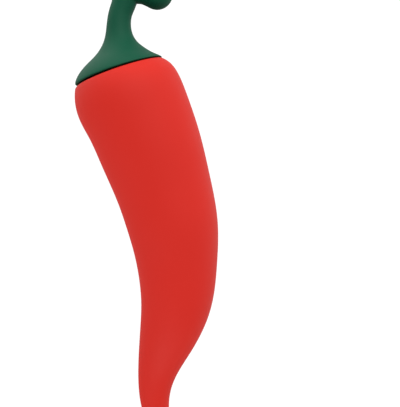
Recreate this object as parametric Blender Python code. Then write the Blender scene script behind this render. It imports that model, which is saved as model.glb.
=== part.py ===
"""Moulded chili pepper lying on its side: a red pod, and a green cap with a hooked stem.

Both pieces are round sections threaded on a centre line that bends in the horizontal plane.
Lengths are millimetres and angles degrees, except where Blender needs metres.
"""
import math

import bmesh
import bpy
import numpy as np

for old in list(bpy.data.objects):
    bpy.data.objects.remove(old, do_unlink=True)

METRES = 0.001
SIDES = 60
FINE_STEPS = 3000
EDGE_STEPS = 4
SHARP_ANGLE = 40.0

# How the part lies: the underside is pressed flat on the ground plane
AXIS_HEIGHT = 18.8
FLAT_DEPTH = 0.25

# Seam plane between cap and pod
RIM_X = -9.9
RIM_Y = 51.8
RIM_LEAN = 18.8

# Pod: sections every STATION_STEP down from the seam, as sideways position and radius
STATION_STEP = 13.5
POD_SECTIONS = (
    (-9.9, 20.6),
    (-3.9, 18.9),
    (1.4, 18.1),
    (5.8, 16.9),
    (9.1, 15.9),
    (10.5, 14.2),
    (10.1, 12.6),
    (6.7, 10.0),
    (2.9, 6.7),
    (2.8, 4.7),
    (7.6, 3.0),
)
BODY_TAPER = 0.12
POD_RIM_RADIUS = 15.8
SHOULDER_RUN = 17.0
SHOULDER_POWER = 3.1
POD_EDGE_ROUND = 0.6
POD_RINGS = 45
RINGS_TO_SHOULDER = 1.3
TAIL_END_STEPS = 6

# Seam: the outer groove is open, and a raised land inside it carries the cap
POD_FACE_DROP = 0.3
LAND_DROP = 0.05
LAND_RADIUS = 12.0
CAP_RISE = 0.25
SOCKET_RADIUS = 5.3
SOCKET_DEPTH = 6.5
PEG_RADIUS = 5.0
PEG_LENGTH = 6.0
PEG_CHAMFER = 0.6

# Cap and stem: the bell flares out to the lip, and the stem bends over to the right
LIP_RADIUS = 16.0
LIP_ROUND = 0.5
STEM_RADIUS = 4.1
BELL_HEIGHT = 7.4
BELL_POWER = 1.8
LEAN_RUN = 16.5
STEM_PATH = (
    (0.0, 0.0),
    (0.3, 6.0),
    (0.2, 11.5),
    (0.1, 16.8),
    (0.7, 20.8),
    (1.8, 24.0),
    (2.9, 26.8),
    (8.8, 29.0),
    (13.5, 27.4),
)
SWELL_START = 20.0
SWELL = 1.4
CAP_RINGS = 48
KNOB_END_STEPS = 8

RED = (0.66, 0.032, 0.023, 1.0)
GREEN = (0.022, 0.108, 0.064, 1.0)
SOFT_ROUGHNESS = 0.55


def spline(knots, values, start_slope):
    """Cubic spline with a set slope at its start and no curvature at its end."""
    count = len(knots)
    step = np.diff(knots)
    slope = np.diff(values) / step
    matrix = np.zeros((count, count))
    right = np.zeros(count)
    matrix[0, 0] = 2 * step[0]
    matrix[0, 1] = step[0]
    right[0] = 6 * (slope[0] - start_slope)
    matrix[-1, -1] = 1.0
    for i in range(1, count - 1):
        matrix[i, i - 1] = step[i - 1]
        matrix[i, i] = 2 * (step[i - 1] + step[i])
        matrix[i, i + 1] = step[i]
        right[i] = 6 * (slope[i] - slope[i - 1])
    bend = np.linalg.solve(matrix, right)

    def at(x):
        i = np.clip(np.searchsorted(knots, x) - 1, 0, count - 2)
        a = knots[i + 1] - x
        b = x - knots[i]
        cubic = (bend[i] * a**3 + bend[i + 1] * b**3) / (6 * step[i])
        left = (values[i] / step[i] - bend[i] * step[i] / 6) * a
        return cubic + left + (values[i + 1] / step[i] - bend[i + 1] * step[i] / 6) * b

    return at


def run_length(x, y):
    """Distance along a line through these points."""
    return np.concatenate([[0.0], np.cumsum(np.hypot(np.diff(x), np.diff(y)))])


def heading_of(x, y):
    """Direction of the line at each point, in degrees clockwise from +Y."""
    return np.degrees(np.arctan2(np.gradient(x), np.gradient(y)))


def ring(x, y, height, heading, radius):
    """Upright circle of points across the heading, kept above the ground plane."""
    around = np.radians(np.arange(SIDES) * 360.0 / SIDES)
    turn = math.radians(heading)
    side = radius * np.cos(around)
    up = height + radius * np.sin(around)
    points = np.column_stack([x + side * math.cos(turn), y - side * math.sin(turn), up])
    points[:, 2] = np.maximum(points[:, 2], 0.0)
    return points


def along_rim(rise):
    """Point on the rim's own axis, this far above the seam plane."""
    turn = math.radians(-RIM_LEAN)
    return RIM_X + rise * math.sin(turn), RIM_Y + rise * math.cos(turn)


def rim_ring(rise, radius):
    x, y = along_rim(rise)
    return ring(x, y, AXIS_HEIGHT, -RIM_LEAN, radius)


def rounded_end(x, y, height, heading, forward, radius, steps):
    """Rings of a half ball that closes a tube, and its last point."""
    turn = math.radians(heading)
    rings = []
    for angle in np.linspace(0.0, 90.0, steps + 1)[1:-1]:
        ahead = forward * radius * math.sin(math.radians(angle))
        small = radius * math.cos(math.radians(angle))
        rings.append(ring(x + ahead * math.sin(turn), y + ahead * math.cos(turn), height, heading, small))
    ahead = forward * radius
    pole = (x + ahead * math.sin(turn), y + ahead * math.cos(turn), height)
    return rings, pole


def quarter_round(steps):
    """Inward and forward shares of an edge rounding, from its face to its side."""
    angles = np.radians(np.linspace(0.0, 90.0, steps + 1))
    return list(zip(1 - np.sin(angles), 1 - np.cos(angles)))


def pod_rings():
    """Rings from the socket floor, out over the rim and down to the tip of the tail."""
    start_x, start_y = along_rim(-SOCKET_DEPTH)
    first = (start_x, start_y, AXIS_HEIGHT)
    rings = [
        rim_ring(-SOCKET_DEPTH, SOCKET_RADIUS),
        rim_ring(-LAND_DROP, SOCKET_RADIUS),
        rim_ring(-LAND_DROP, LAND_RADIUS),
        rim_ring(-POD_FACE_DROP, LAND_RADIUS),
    ]
    sections = np.array(POD_SECTIONS)
    drops = STATION_STEP * np.arange(len(sections))
    heights = np.minimum(sections[:, 1] - FLAT_DEPTH, AXIS_HEIGHT)
    fine = np.linspace(0.0, drops[-1], FINE_STEPS)
    x = spline(drops, sections[:, 0], math.tan(math.radians(RIM_LEAN)))(fine)
    body = spline(drops, sections[:, 1], -BODY_TAPER)(fine)
    height = spline(drops, heights, 0.0)(fine)
    along = run_length(x, fine)
    heading = heading_of(-x, fine)
    narrowing = body[0] - POD_RIM_RADIUS
    radius = body - narrowing * np.clip(1 - along / SHOULDER_RUN, 0.0, 1.0) ** SHOULDER_POWER

    def section(distance, inward):
        values = [np.interp(distance, along, row) for row in (x, fine, height, heading, radius)]
        return ring(values[0], RIM_Y - values[1], values[2], values[3], values[4] - inward)

    for inward, forward in quarter_round(EDGE_STEPS):
        rings.append(section(POD_FACE_DROP + POD_EDGE_ROUND * forward, POD_EDGE_ROUND * inward))
    body_start = POD_FACE_DROP + POD_EDGE_ROUND
    for share in np.linspace(0.0, 1.0, POD_RINGS)[1:]:
        rings.append(section(body_start + (along[-1] - body_start) * share**RINGS_TO_SHOULDER, 0.0))
    tip_y = RIM_Y - fine[-1]
    end, last = rounded_end(x[-1], tip_y, height[-1], heading[-1], -1, radius[-1], TAIL_END_STEPS)
    return first, rings + end, last


def cap_rings():
    """Rings from the foot of the peg, out under the lip, up the bell and along the hook."""
    start_x, start_y = along_rim(-PEG_LENGTH)
    first = (start_x, start_y, AXIS_HEIGHT)
    rings = [
        rim_ring(-PEG_LENGTH, PEG_RADIUS - PEG_CHAMFER),
        rim_ring(-PEG_LENGTH + PEG_CHAMFER, PEG_RADIUS),
        rim_ring(CAP_RISE, PEG_RADIUS),
    ]
    path = np.array(STEM_PATH)
    knots = run_length(path[:, 0], path[:, 1])
    fine = np.linspace(0.0, knots[-1], FINE_STEPS)
    x = RIM_X + spline(knots, path[:, 0], 0.0)(fine)
    y = RIM_Y + spline(knots, path[:, 1], 1.0)(fine)
    along = run_length(x, y)
    upright = np.clip(along / LEAN_RUN, 0.0, 1.0)
    heading = heading_of(x, y) - RIM_LEAN * (1 - upright**2 * (3 - 2 * upright))
    flare = np.exp(-((along / BELL_HEIGHT) ** BELL_POWER))
    swelling = np.clip((along - SWELL_START) / (along[-1] - SWELL_START), 0.0, 1.0)
    swelling = SWELL * swelling**2 * (3 - 2 * swelling)
    radius = STEM_RADIUS + (LIP_RADIUS - STEM_RADIUS) * flare + swelling

    def section(distance, inward):
        values = [np.interp(distance, along, row) for row in (x, y, heading, radius)]
        return ring(values[0], values[1], AXIS_HEIGHT, values[2], values[3] - inward)

    for inward, forward in quarter_round(EDGE_STEPS):
        rings.append(section(CAP_RISE + LIP_ROUND * forward, LIP_ROUND * inward))
    bell_start = CAP_RISE + LIP_ROUND
    for share in np.linspace(0.0, 1.0, CAP_RINGS)[1:]:
        rings.append(section(bell_start + (along[-1] - bell_start) * share, 0.0))
    end, last = rounded_end(x[-1], y[-1], AXIS_HEIGHT, heading[-1], 1, radius[-1], KNOB_END_STEPS)
    return first, rings + end, last


def soft_material(name, colour):
    material = bpy.data.materials.new(name)
    material.use_nodes = True
    shader = material.node_tree.nodes["Principled BSDF"]
    shader.inputs["Base Color"].default_value = colour
    shader.inputs["Roughness"].default_value = SOFT_ROUGHNESS
    shader.inputs["Metallic"].default_value = 0.0
    material.diffuse_color = colour
    return material


def threaded_body(name, first, rings, last, material):
    """Closed mesh through the rings, with one point at each end."""
    points = np.vstack([[first], *rings, [last]]) * METRES
    end = len(points) - 1
    faces = []
    for i in range(SIDES):
        j = (i + 1) % SIDES
        faces.append((0, 1 + i, 1 + j))
        faces.append((end, end - SIDES + j, end - SIDES + i))
        for level in range(len(rings) - 1):
            low = 1 + level * SIDES
            faces.append((low + i, low + SIDES + i, low + SIDES + j, low + j))
    mesh = bpy.data.meshes.new(name)
    mesh.from_pydata([tuple(p) for p in points], [], faces)
    surface = bmesh.new()
    surface.from_mesh(mesh)
    bmesh.ops.recalc_face_normals(surface, faces=surface.faces)
    surface.to_mesh(mesh)
    surface.free()
    mesh.shade_smooth()
    mesh.set_sharp_from_angle(angle=math.radians(SHARP_ANGLE))
    mesh.materials.append(material)
    body = bpy.data.objects.new(name, mesh)
    bpy.context.scene.collection.objects.link(body)
    return body


threaded_body("pod", *pod_rings(), soft_material("red_skin", RED))
threaded_body("calyx_stem", *cap_rings(), soft_material("green_skin", GREEN))
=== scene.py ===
import math

import bmesh
import bpy
import numpy as np
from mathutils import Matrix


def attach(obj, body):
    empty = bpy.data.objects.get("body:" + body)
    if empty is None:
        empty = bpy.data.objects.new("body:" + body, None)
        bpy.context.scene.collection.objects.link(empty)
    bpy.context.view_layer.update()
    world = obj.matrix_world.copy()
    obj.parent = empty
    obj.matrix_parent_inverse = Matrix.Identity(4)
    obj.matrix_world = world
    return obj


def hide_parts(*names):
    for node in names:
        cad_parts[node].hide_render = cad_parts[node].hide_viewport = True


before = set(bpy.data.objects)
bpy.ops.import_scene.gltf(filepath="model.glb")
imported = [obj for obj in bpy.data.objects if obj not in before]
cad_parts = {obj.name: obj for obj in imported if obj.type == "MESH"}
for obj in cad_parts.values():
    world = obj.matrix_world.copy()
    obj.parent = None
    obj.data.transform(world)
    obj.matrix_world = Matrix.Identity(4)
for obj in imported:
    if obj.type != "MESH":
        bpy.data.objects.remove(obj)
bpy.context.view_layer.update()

# Pod
# The red body of the pepper: one solid moulding in soft rubber with a matte, faintly hazy skin.
# Round sections follow a centre line that sways to the right and back, and taper to a thin tail.
# It lies on its side with its underside pressed flat, and its top has a socket for the cap's peg.

# Sizes of both pieces are in millimetres, and angles in degrees
METRES = 0.001
SIDES = 144
FINE_STEPS = 6000
EDGE_STEPS = 8
SHARP_ANGLE = 40.0

# How the pepper lies, and the plane of the seam
AXIS_HEIGHT = 18.8
FLAT_DEPTH = 0.25
RIM_X = -9.9
RIM_Y = 51.8
RIM_LEAN = 18.8

# Sections down from the seam, one at every step, as sideways position and radius
POD_STEP = 13.5
POD_SECTIONS = (
    (-9.9, 20.6),
    (-3.9, 18.9),
    (1.4, 18.1),
    (5.8, 16.9),
    (9.1, 15.9),
    (10.5, 14.2),
    (10.1, 12.6),
    (6.7, 10.0),
    (2.9, 6.7),
    (2.8, 4.7),
    (7.6, 3.0),
)
POD_TAPER_AT_RIM = 0.12
POD_RINGS = 170
RINGS_TO_SHOULDER = 1.3
TAIL_END_STEPS = 16

# The shoulder narrows to the rim, and a land inside the rim carries the cap
POD_RIM_RADIUS = 15.8
SHOULDER_RUN = 17.0
SHOULDER_POWER = 3.1
POD_EDGE_ROUND = 0.6
POD_FACE_DROP = 0.3
LAND_DROP = 0.05
LAND_RADIUS = 12.0
SOCKET_RADIUS = 5.3
SOCKET_DEPTH = 6.5


def smooth_line(knots, values, start_slope):
    """Cubic spline with a set slope at its start and no curvature at its end."""
    count = len(knots)
    step = np.diff(knots)
    slope = np.diff(values) / step
    matrix = np.zeros((count, count))
    right = np.zeros(count)
    matrix[0, 0] = 2 * step[0]
    matrix[0, 1] = step[0]
    right[0] = 6 * (slope[0] - start_slope)
    matrix[-1, -1] = 1.0
    for i in range(1, count - 1):
        matrix[i, i - 1] = step[i - 1]
        matrix[i, i] = 2 * (step[i - 1] + step[i])
        matrix[i, i + 1] = step[i]
        right[i] = 6 * (slope[i] - slope[i - 1])
    bend = np.linalg.solve(matrix, right)

    def at(x):
        i = np.clip(np.searchsorted(knots, x) - 1, 0, count - 2)
        a = knots[i + 1] - x
        b = x - knots[i]
        cubic = (bend[i] * a**3 + bend[i + 1] * b**3) / (6 * step[i])
        left = (values[i] / step[i] - bend[i] * step[i] / 6) * a
        return cubic + left + (values[i + 1] / step[i] - bend[i + 1] * step[i] / 6) * b

    return at


def run_length(x, y):
    """Distance along a line through these points."""
    return np.concatenate([[0.0], np.cumsum(np.hypot(np.diff(x), np.diff(y)))])


def heading_of(x, y):
    """Direction of the line at each point, in degrees clockwise from +Y."""
    return np.degrees(np.arctan2(np.gradient(x), np.gradient(y)))


def ring(x, y, height, heading, radius):
    """Upright circle of points across the heading, kept above the surface it lies on."""
    around = np.radians(np.arange(SIDES) * 360.0 / SIDES)
    turn = math.radians(heading)
    side = radius * np.cos(around)
    up = height + radius * np.sin(around)
    points = np.column_stack([x + side * math.cos(turn), y - side * math.sin(turn), up])
    points[:, 2] = np.maximum(points[:, 2], 0.0)
    return points


def along_rim(rise):
    """Point on the rim's own axis, this far above the seam."""
    turn = math.radians(-RIM_LEAN)
    return RIM_X + rise * math.sin(turn), RIM_Y + rise * math.cos(turn)


def rim_ring(rise, radius):
    x, y = along_rim(rise)
    return ring(x, y, AXIS_HEIGHT, -RIM_LEAN, radius)


def rounded_end(x, y, height, heading, forward, radius, steps):
    """Rings of the half ball that closes an end, and its last point."""
    turn = math.radians(heading)
    rings = []
    for angle in np.linspace(0.0, 90.0, steps + 1)[1:-1]:
        ahead = forward * radius * math.sin(math.radians(angle))
        ahead_x = x + ahead * math.sin(turn)
        ahead_y = y + ahead * math.cos(turn)
        small = radius * math.cos(math.radians(angle))
        rings.append(ring(ahead_x, ahead_y, height, heading, small))
    ahead = forward * radius
    return rings, (x + ahead * math.sin(turn), y + ahead * math.cos(turn), height)


def edge_round(steps):
    """Inward and forward shares of a rounded edge, from its face to its side."""
    angles = np.radians(np.linspace(0.0, 90.0, steps + 1))
    return list(zip(1 - np.sin(angles), 1 - np.cos(angles)))


def moulding(name, first, rings, last):
    """Closed smooth mesh through the rings, with one point at each end."""
    points = np.vstack([[first], *rings, [last]]) * METRES
    end = len(points) - 1
    faces = []
    for i in range(SIDES):
        j = (i + 1) % SIDES
        faces.append((0, 1 + i, 1 + j))
        faces.append((end, end - SIDES + j, end - SIDES + i))
        for level in range(len(rings) - 1):
            low = 1 + level * SIDES
            faces.append((low + i, low + SIDES + i, low + SIDES + j, low + j))
    mesh = bpy.data.meshes.new(name)
    mesh.from_pydata([tuple(p) for p in points], [], faces)
    surface = bmesh.new()
    surface.from_mesh(mesh)
    bmesh.ops.recalc_face_normals(surface, faces=surface.faces)
    surface.to_mesh(mesh)
    surface.free()
    mesh.shade_smooth()
    mesh.set_sharp_from_angle(angle=math.radians(SHARP_ANGLE))
    piece = bpy.data.objects.new(name, mesh)
    bpy.context.scene.collection.objects.link(piece)
    return piece


def pod_rings():
    """From the socket's floor, out over the rim and down to the tip of the tail."""
    start_x, start_y = along_rim(-SOCKET_DEPTH)
    rings = [
        rim_ring(-SOCKET_DEPTH, SOCKET_RADIUS),
        rim_ring(-LAND_DROP, SOCKET_RADIUS),
        rim_ring(-LAND_DROP, LAND_RADIUS),
        rim_ring(-POD_FACE_DROP, LAND_RADIUS),
    ]
    sections = np.array(POD_SECTIONS)
    drops = POD_STEP * np.arange(len(sections))
    heights = np.minimum(sections[:, 1] - FLAT_DEPTH, AXIS_HEIGHT)
    fine = np.linspace(0.0, drops[-1], FINE_STEPS)
    x = smooth_line(drops, sections[:, 0], math.tan(math.radians(RIM_LEAN)))(fine)
    body = smooth_line(drops, sections[:, 1], -POD_TAPER_AT_RIM)(fine)
    height = smooth_line(drops, heights, 0.0)(fine)
    along = run_length(x, fine)
    heading = heading_of(-x, fine)
    narrowing = body[0] - POD_RIM_RADIUS
    radius = body - narrowing * np.clip(1 - along / SHOULDER_RUN, 0.0, 1.0) ** SHOULDER_POWER

    def section(distance, inward):
        values = [np.interp(distance, along, row) for row in (x, fine, height, heading, radius)]
        return ring(values[0], RIM_Y - values[1], values[2], values[3], values[4] - inward)

    for inward, forward in edge_round(EDGE_STEPS):
        rings.append(section(POD_FACE_DROP + POD_EDGE_ROUND * forward, POD_EDGE_ROUND * inward))
    body_start = POD_FACE_DROP + POD_EDGE_ROUND
    for share in np.linspace(0.0, 1.0, POD_RINGS)[1:]:
        rings.append(section(body_start + (along[-1] - body_start) * share**RINGS_TO_SHOULDER, 0.0))
    tip_y = RIM_Y - fine[-1]
    end, last = rounded_end(x[-1], tip_y, height[-1], heading[-1], -1, radius[-1], TAIL_END_STEPS)
    return (start_x, start_y, AXIS_HEIGHT), rings + end, last


# Skin: two close reds that drift into each other, and how strongly it reflects and scatters
RED_DEEP = (0.602, 0.0202, 0.0122, 1.0)
RED_WARM = (0.632, 0.0222, 0.0134, 1.0)
RED_GLOSS = 0.163
SMOOTHEST = 0.56
ROUGHEST = 0.64
NOISE_LOW = 0.3
NOISE_HIGH = 0.7


def soft_skin(name, deep, warm, gloss):
    """Matte moulded rubber: slow drifts of colour, a fine blasted grain and an uneven polish."""
    material = bpy.data.materials.new(name)
    material.use_nodes = True
    tree = material.node_tree
    shader = tree.nodes["Principled BSDF"]
    place = tree.nodes.new("ShaderNodeTexCoord")

    def noise(scale, detail, roughness):
        node = tree.nodes.new("ShaderNodeTexNoise")
        node.inputs["Scale"].default_value = scale
        node.inputs["Detail"].default_value = detail
        node.inputs["Roughness"].default_value = roughness
        tree.links.new(place.outputs["Object"], node.inputs["Vector"])
        return node.outputs["Fac"]

    def bump(height, strength, depth):
        node = tree.nodes.new("ShaderNodeBump")
        node.inputs["Strength"].default_value = strength
        node.inputs["Distance"].default_value = depth
        tree.links.new(height, node.inputs["Height"])
        return node

    drift = noise(scale=22.0, detail=3.0, roughness=0.5)
    colour = tree.nodes.new("ShaderNodeMix")
    colour.data_type = "RGBA"
    colour.inputs["A"].default_value = deep
    colour.inputs["B"].default_value = warm
    tree.links.new(drift, colour.inputs["Factor"])
    tree.links.new(colour.outputs["Result"], shader.inputs["Base Color"])

    polish = noise(scale=60.0, detail=4.0, roughness=0.6)
    rough = tree.nodes.new("ShaderNodeMapRange")
    rough.inputs["From Min"].default_value = NOISE_LOW
    rough.inputs["From Max"].default_value = NOISE_HIGH
    rough.inputs["To Min"].default_value = SMOOTHEST
    rough.inputs["To Max"].default_value = ROUGHEST
    tree.links.new(polish, rough.inputs["Value"])
    tree.links.new(rough.outputs["Result"], shader.inputs["Roughness"])

    grain = noise(scale=5200.0, detail=2.0, roughness=0.55)
    ripple = noise(scale=140.0, detail=2.0, roughness=0.4)
    fine_bump = bump(grain, strength=0.12, depth=0.00004)
    slow_bump = bump(ripple, strength=0.10, depth=0.0006)
    tree.links.new(fine_bump.outputs["Normal"], slow_bump.inputs["Normal"])
    tree.links.new(slow_bump.outputs["Normal"], shader.inputs["Normal"])

    shader.inputs["Metallic"].default_value = 0.0
    shader.inputs["Specular IOR Level"].default_value = gloss
    return material


pod = moulding("pod_moulding", *pod_rings())
pod.data.materials.append(soft_skin("red_skin", RED_DEEP, RED_WARM, RED_GLOSS))
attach(pod, "root")
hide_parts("pod")

# Cap and stem
# The green calyx, stem and hooked end: one solid moulding in the same soft matte rubber.
# The bell's lip sits a hair above the pod's rim, which leaves the thin dark seam between them.
# A short round peg under the cap fits the pod's socket.

# The underside and its peg, with heights from the plane of the seam
CAP_RISE = 0.25
PEG_RADIUS = 5.0
PEG_LENGTH = 6.0
PEG_CHAMFER = 0.6

# The bell flares out to the lip
LIP_RADIUS = 16.0
LIP_ROUND = 0.5
STEM_RADIUS = 4.1
BELL_HEIGHT = 7.4
BELL_POWER = 1.8
LEAN_RUN = 16.5

# The stem's centre line from the middle of the seam, which bends over to the right and swells
STEM_PATH = (
    (0.0, 0.0),
    (0.3, 6.0),
    (0.2, 11.5),
    (0.1, 16.8),
    (0.7, 20.8),
    (1.8, 24.0),
    (2.9, 26.8),
    (8.8, 29.0),
    (13.5, 27.4),
)
SWELL_START = 20.0
SWELL = 1.4
CAP_RINGS = 180
KNOB_END_STEPS = 24


def cap_rings():
    """From the foot of the peg, out under the lip, up the bell and along the hook."""
    start_x, start_y = along_rim(-PEG_LENGTH)
    rings = [
        rim_ring(-PEG_LENGTH, PEG_RADIUS - PEG_CHAMFER),
        rim_ring(-PEG_LENGTH + PEG_CHAMFER, PEG_RADIUS),
        rim_ring(CAP_RISE, PEG_RADIUS),
    ]
    path = np.array(STEM_PATH)
    knots = run_length(path[:, 0], path[:, 1])
    fine = np.linspace(0.0, knots[-1], FINE_STEPS)
    x = RIM_X + smooth_line(knots, path[:, 0], 0.0)(fine)
    y = RIM_Y + smooth_line(knots, path[:, 1], 1.0)(fine)
    along = run_length(x, y)
    upright = np.clip(along / LEAN_RUN, 0.0, 1.0)
    heading = heading_of(x, y) - RIM_LEAN * (1 - upright**2 * (3 - 2 * upright))
    flare = np.exp(-((along / BELL_HEIGHT) ** BELL_POWER))
    swelling = np.clip((along - SWELL_START) / (along[-1] - SWELL_START), 0.0, 1.0)
    swelling = SWELL * swelling**2 * (3 - 2 * swelling)
    radius = STEM_RADIUS + (LIP_RADIUS - STEM_RADIUS) * flare + swelling

    def section(distance, inward):
        values = [np.interp(distance, along, row) for row in (x, y, heading, radius)]
        return ring(values[0], values[1], AXIS_HEIGHT, values[2], values[3] - inward)

    for inward, forward in edge_round(EDGE_STEPS):
        rings.append(section(CAP_RISE + LIP_ROUND * forward, LIP_ROUND * inward))
    bell_start = CAP_RISE + LIP_ROUND
    for share in np.linspace(0.0, 1.0, CAP_RINGS)[1:]:
        rings.append(section(bell_start + (along[-1] - bell_start) * share, 0.0))
    end, last = rounded_end(x[-1], y[-1], AXIS_HEIGHT, heading[-1], 1, radius[-1], KNOB_END_STEPS)
    return (start_x, start_y, AXIS_HEIGHT), rings + end, last


# Skin: two close greens, made as the pod's
GREEN_DEEP = (0.0010, 0.0708, 0.0353, 1.0)
GREEN_WARM = (0.0020, 0.0768, 0.0383, 1.0)
GREEN_GLOSS = 0.175

cap = moulding("cap_and_stem_moulding", *cap_rings())
cap.data.materials.append(soft_skin("green_skin", GREEN_DEEP, GREEN_WARM, GREEN_GLOSS))
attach(cap, "root")
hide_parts("calyx_stem")

# Studio
# A plain white sheet under the pepper and four soft lamps far off: the key one high up beyond
# the stem end, and one low down at each of the tail end, the right and the upper left.
# The camera looks straight down from about forty centimetres.

# Studio sizes are in metres; the sheet glows, so the pepper's shadow hardly shows on it
WHITE = (1.0, 1.0, 1.0, 1.0)
FLOOR_SIDE = 4.0
FLOOR_DROP = 0.00005
FLOOR_DIFFUSE = 0.15
FLOOR_GLOW = 0.95

floor_mesh = bpy.data.meshes.new("floor")
half = FLOOR_SIDE / 2
corners = [(-half, -half, 0), (half, -half, 0), (half, half, 0), (-half, half, 0)]
floor_mesh.from_pydata(corners, [], [(0, 1, 2, 3)])
floor = bpy.data.objects.new("floor", floor_mesh)
floor.location.z = -FLOOR_DROP
floor.visible_diffuse = False
floor.visible_glossy = False
floor.visible_shadow = False
bpy.context.scene.collection.objects.link(floor)
paper = bpy.data.materials.new("white_paper")
paper.use_nodes = True
paper_shader = paper.node_tree.nodes["Principled BSDF"]
paper_shader.inputs["Base Color"].default_value = (FLOOR_DIFFUSE, FLOOR_DIFFUSE, FLOOR_DIFFUSE, 1.0)
paper_shader.inputs["Roughness"].default_value = 1.0
paper_shader.inputs["Specular IOR Level"].default_value = 0.0
paper_shader.inputs["Emission Color"].default_value = WHITE
paper_shader.inputs["Emission Strength"].default_value = FLOOR_GLOW
floor_mesh.materials.append(paper)

# Each lamp: angle round from +X, height above the horizon, sharpness and strength.
# The surround is a weak even light from all sides.
SOFT_LAMPS = (
    (63.0, 53.0, 6.7, 3.2),
    (255.0, 0.0, 22.0, 8.5),
    (9.0, -28.0, 2.5, 1.05),
    (134.0, -10.0, 3.7, 1.85),
)
SURROUND = 0.16
BACKDROP = 1.0

world = bpy.data.worlds.new("studio")
bpy.context.scene.world = world
world.use_nodes = True
studio = world.node_tree
direction = studio.nodes.new("ShaderNodeTexCoord")
brightness = None
for round_angle, height_angle, sharpness, strength in SOFT_LAMPS:
    flat = math.cos(math.radians(height_angle))
    aim = (
        flat * math.cos(math.radians(round_angle)),
        flat * math.sin(math.radians(round_angle)),
        math.sin(math.radians(height_angle)),
    )
    nearness = studio.nodes.new("ShaderNodeVectorMath")
    nearness.operation = "DOT_PRODUCT"
    nearness.inputs[1].default_value = aim
    studio.links.new(direction.outputs["Generated"], nearness.inputs[0])
    falloff = studio.nodes.new("ShaderNodeMath")
    falloff.operation = "MULTIPLY_ADD"
    falloff.inputs[1].default_value = sharpness
    falloff.inputs[2].default_value = -sharpness
    studio.links.new(nearness.outputs["Value"], falloff.inputs[0])
    glow = studio.nodes.new("ShaderNodeMath")
    glow.operation = "EXPONENT"
    studio.links.new(falloff.outputs[0], glow.inputs[0])
    total = studio.nodes.new("ShaderNodeMath")
    total.operation = "MULTIPLY_ADD"
    total.inputs[1].default_value = strength
    total.inputs[2].default_value = SURROUND
    studio.links.new(glow.outputs[0], total.inputs[0])
    if brightness is not None:
        studio.links.new(brightness, total.inputs[2])
    brightness = total.outputs[0]

# The lamps light the pepper, and the camera sees a plain white backdrop past the sheet
lamp_light = studio.nodes["Background"]
lamp_light.inputs["Color"].default_value = WHITE
studio.links.new(brightness, lamp_light.inputs["Strength"])
backdrop = studio.nodes.new("ShaderNodeBackground")
backdrop.inputs["Color"].default_value = WHITE
backdrop.inputs["Strength"].default_value = BACKDROP
seen = studio.nodes.new("ShaderNodeLightPath")
either = studio.nodes.new("ShaderNodeMixShader")
studio.links.new(seen.outputs["Is Camera Ray"], either.inputs["Fac"])
studio.links.new(lamp_light.outputs[0], either.inputs[1])
studio.links.new(backdrop.outputs[0], either.inputs[2])
studio.links.new(either.outputs[0], studio.nodes["World Output"].inputs["Surface"])

# Left unturned, a camera looks straight down
PHOTO_WIDTH = 400
PHOTO_HEIGHT = 407
FOCUS_PIXELS = 1143.0
SENSOR = 36.0
CAMERA_PLACE = (0.0186, 0.0059, 0.4188)

view = bpy.data.cameras.new("camera")
view.sensor_width = SENSOR
view.sensor_fit = "AUTO"
view.lens = SENSOR * FOCUS_PIXELS / max(PHOTO_WIDTH, PHOTO_HEIGHT)
camera = bpy.data.objects.new("camera", view)
camera.location = CAMERA_PLACE
bpy.context.scene.collection.objects.link(camera)
bpy.context.scene.camera = camera
bpy.context.scene.view_settings.view_transform = "Standard"
